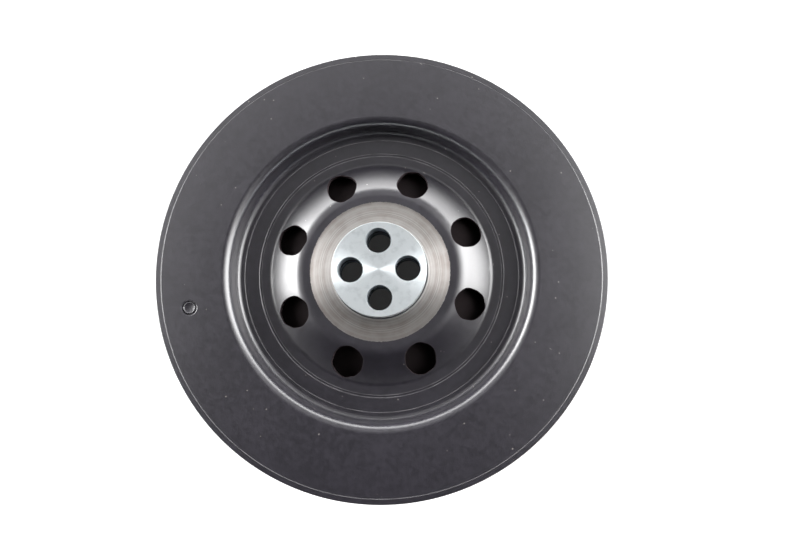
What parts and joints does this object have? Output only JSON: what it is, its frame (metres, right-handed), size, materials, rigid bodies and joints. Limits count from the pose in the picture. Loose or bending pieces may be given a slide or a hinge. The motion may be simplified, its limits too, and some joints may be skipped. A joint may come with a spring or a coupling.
{
  "type": "harmonic balancer",
  "caption": "Sealed steel torsional damper for a crankshaft nose: dished front cover with vent holes, bolted clamp disc, inner inertia ring and a rubber-decoupled ribbed belt pulley behind.",
  "frame": {"origin": "centre of the flat face inside the hub that seats on the end of the crankshaft", "axes": "+Z along the crankshaft's axis, away from the engine, out of the visible front face; +X and +Y across it"},
  "size_m": [0.2, 0.2, 0.0626],
  "materials": {
    "coated_steel": "black dip coat, semi-gloss, over drawn sheet",
    "zinc_plated_steel": "bright zinc over a faced, finely turned surface",
    "machined_steel": "turned bare steel, oiled",
    "spring_steel": "phosphated spring steel",
    "cast_iron": "turned all over, in silicone fluid",
    "bearing_plastic": "moulded, matt",
    "decoupling_rubber": "moulded, matt",
    "coated_pulley": "black coat over turned grooves"
  },
  "bodies": {
    "housing": {"front_pressing": "coated_steel", "rear_pressing": "coated_steel", "filler_plug": "coated_steel", "clamp_disc": "zinc_plated_steel", "crank_hub": "machined_steel", "pulley_carrier": "coated_steel", "decoupling_rubber": "decoupling_rubber", "guide_bush": "bearing_plastic", "thrust_washer": "bearing_plastic", "retaining_ring": "spring_steel"},
    "inertia_mass": {"inertia_ring": "cast_iron", "radial_bearing": "bearing_plastic", "front_thrust_ring": "bearing_plastic", "rear_thrust_ring": "bearing_plastic"},
    "pulley": {"belt_pulley": "coated_pulley"}
  },
  "joints": [
    {"name": "inertia_spin", "type": "hinge", "parent": "housing", "child": "inertia_mass", "pos_m": [0, 0, 0], "axis": [0, 0, 1], "continuous": true},
    {"name": "pulley_twist", "type": "hinge", "parent": "housing", "child": "pulley", "pos_m": [0, 0, 0], "axis": [0, 0, 1], "range_deg": [-6, 6], "stiffness_Nm_per_rad": 150}
  ]
}
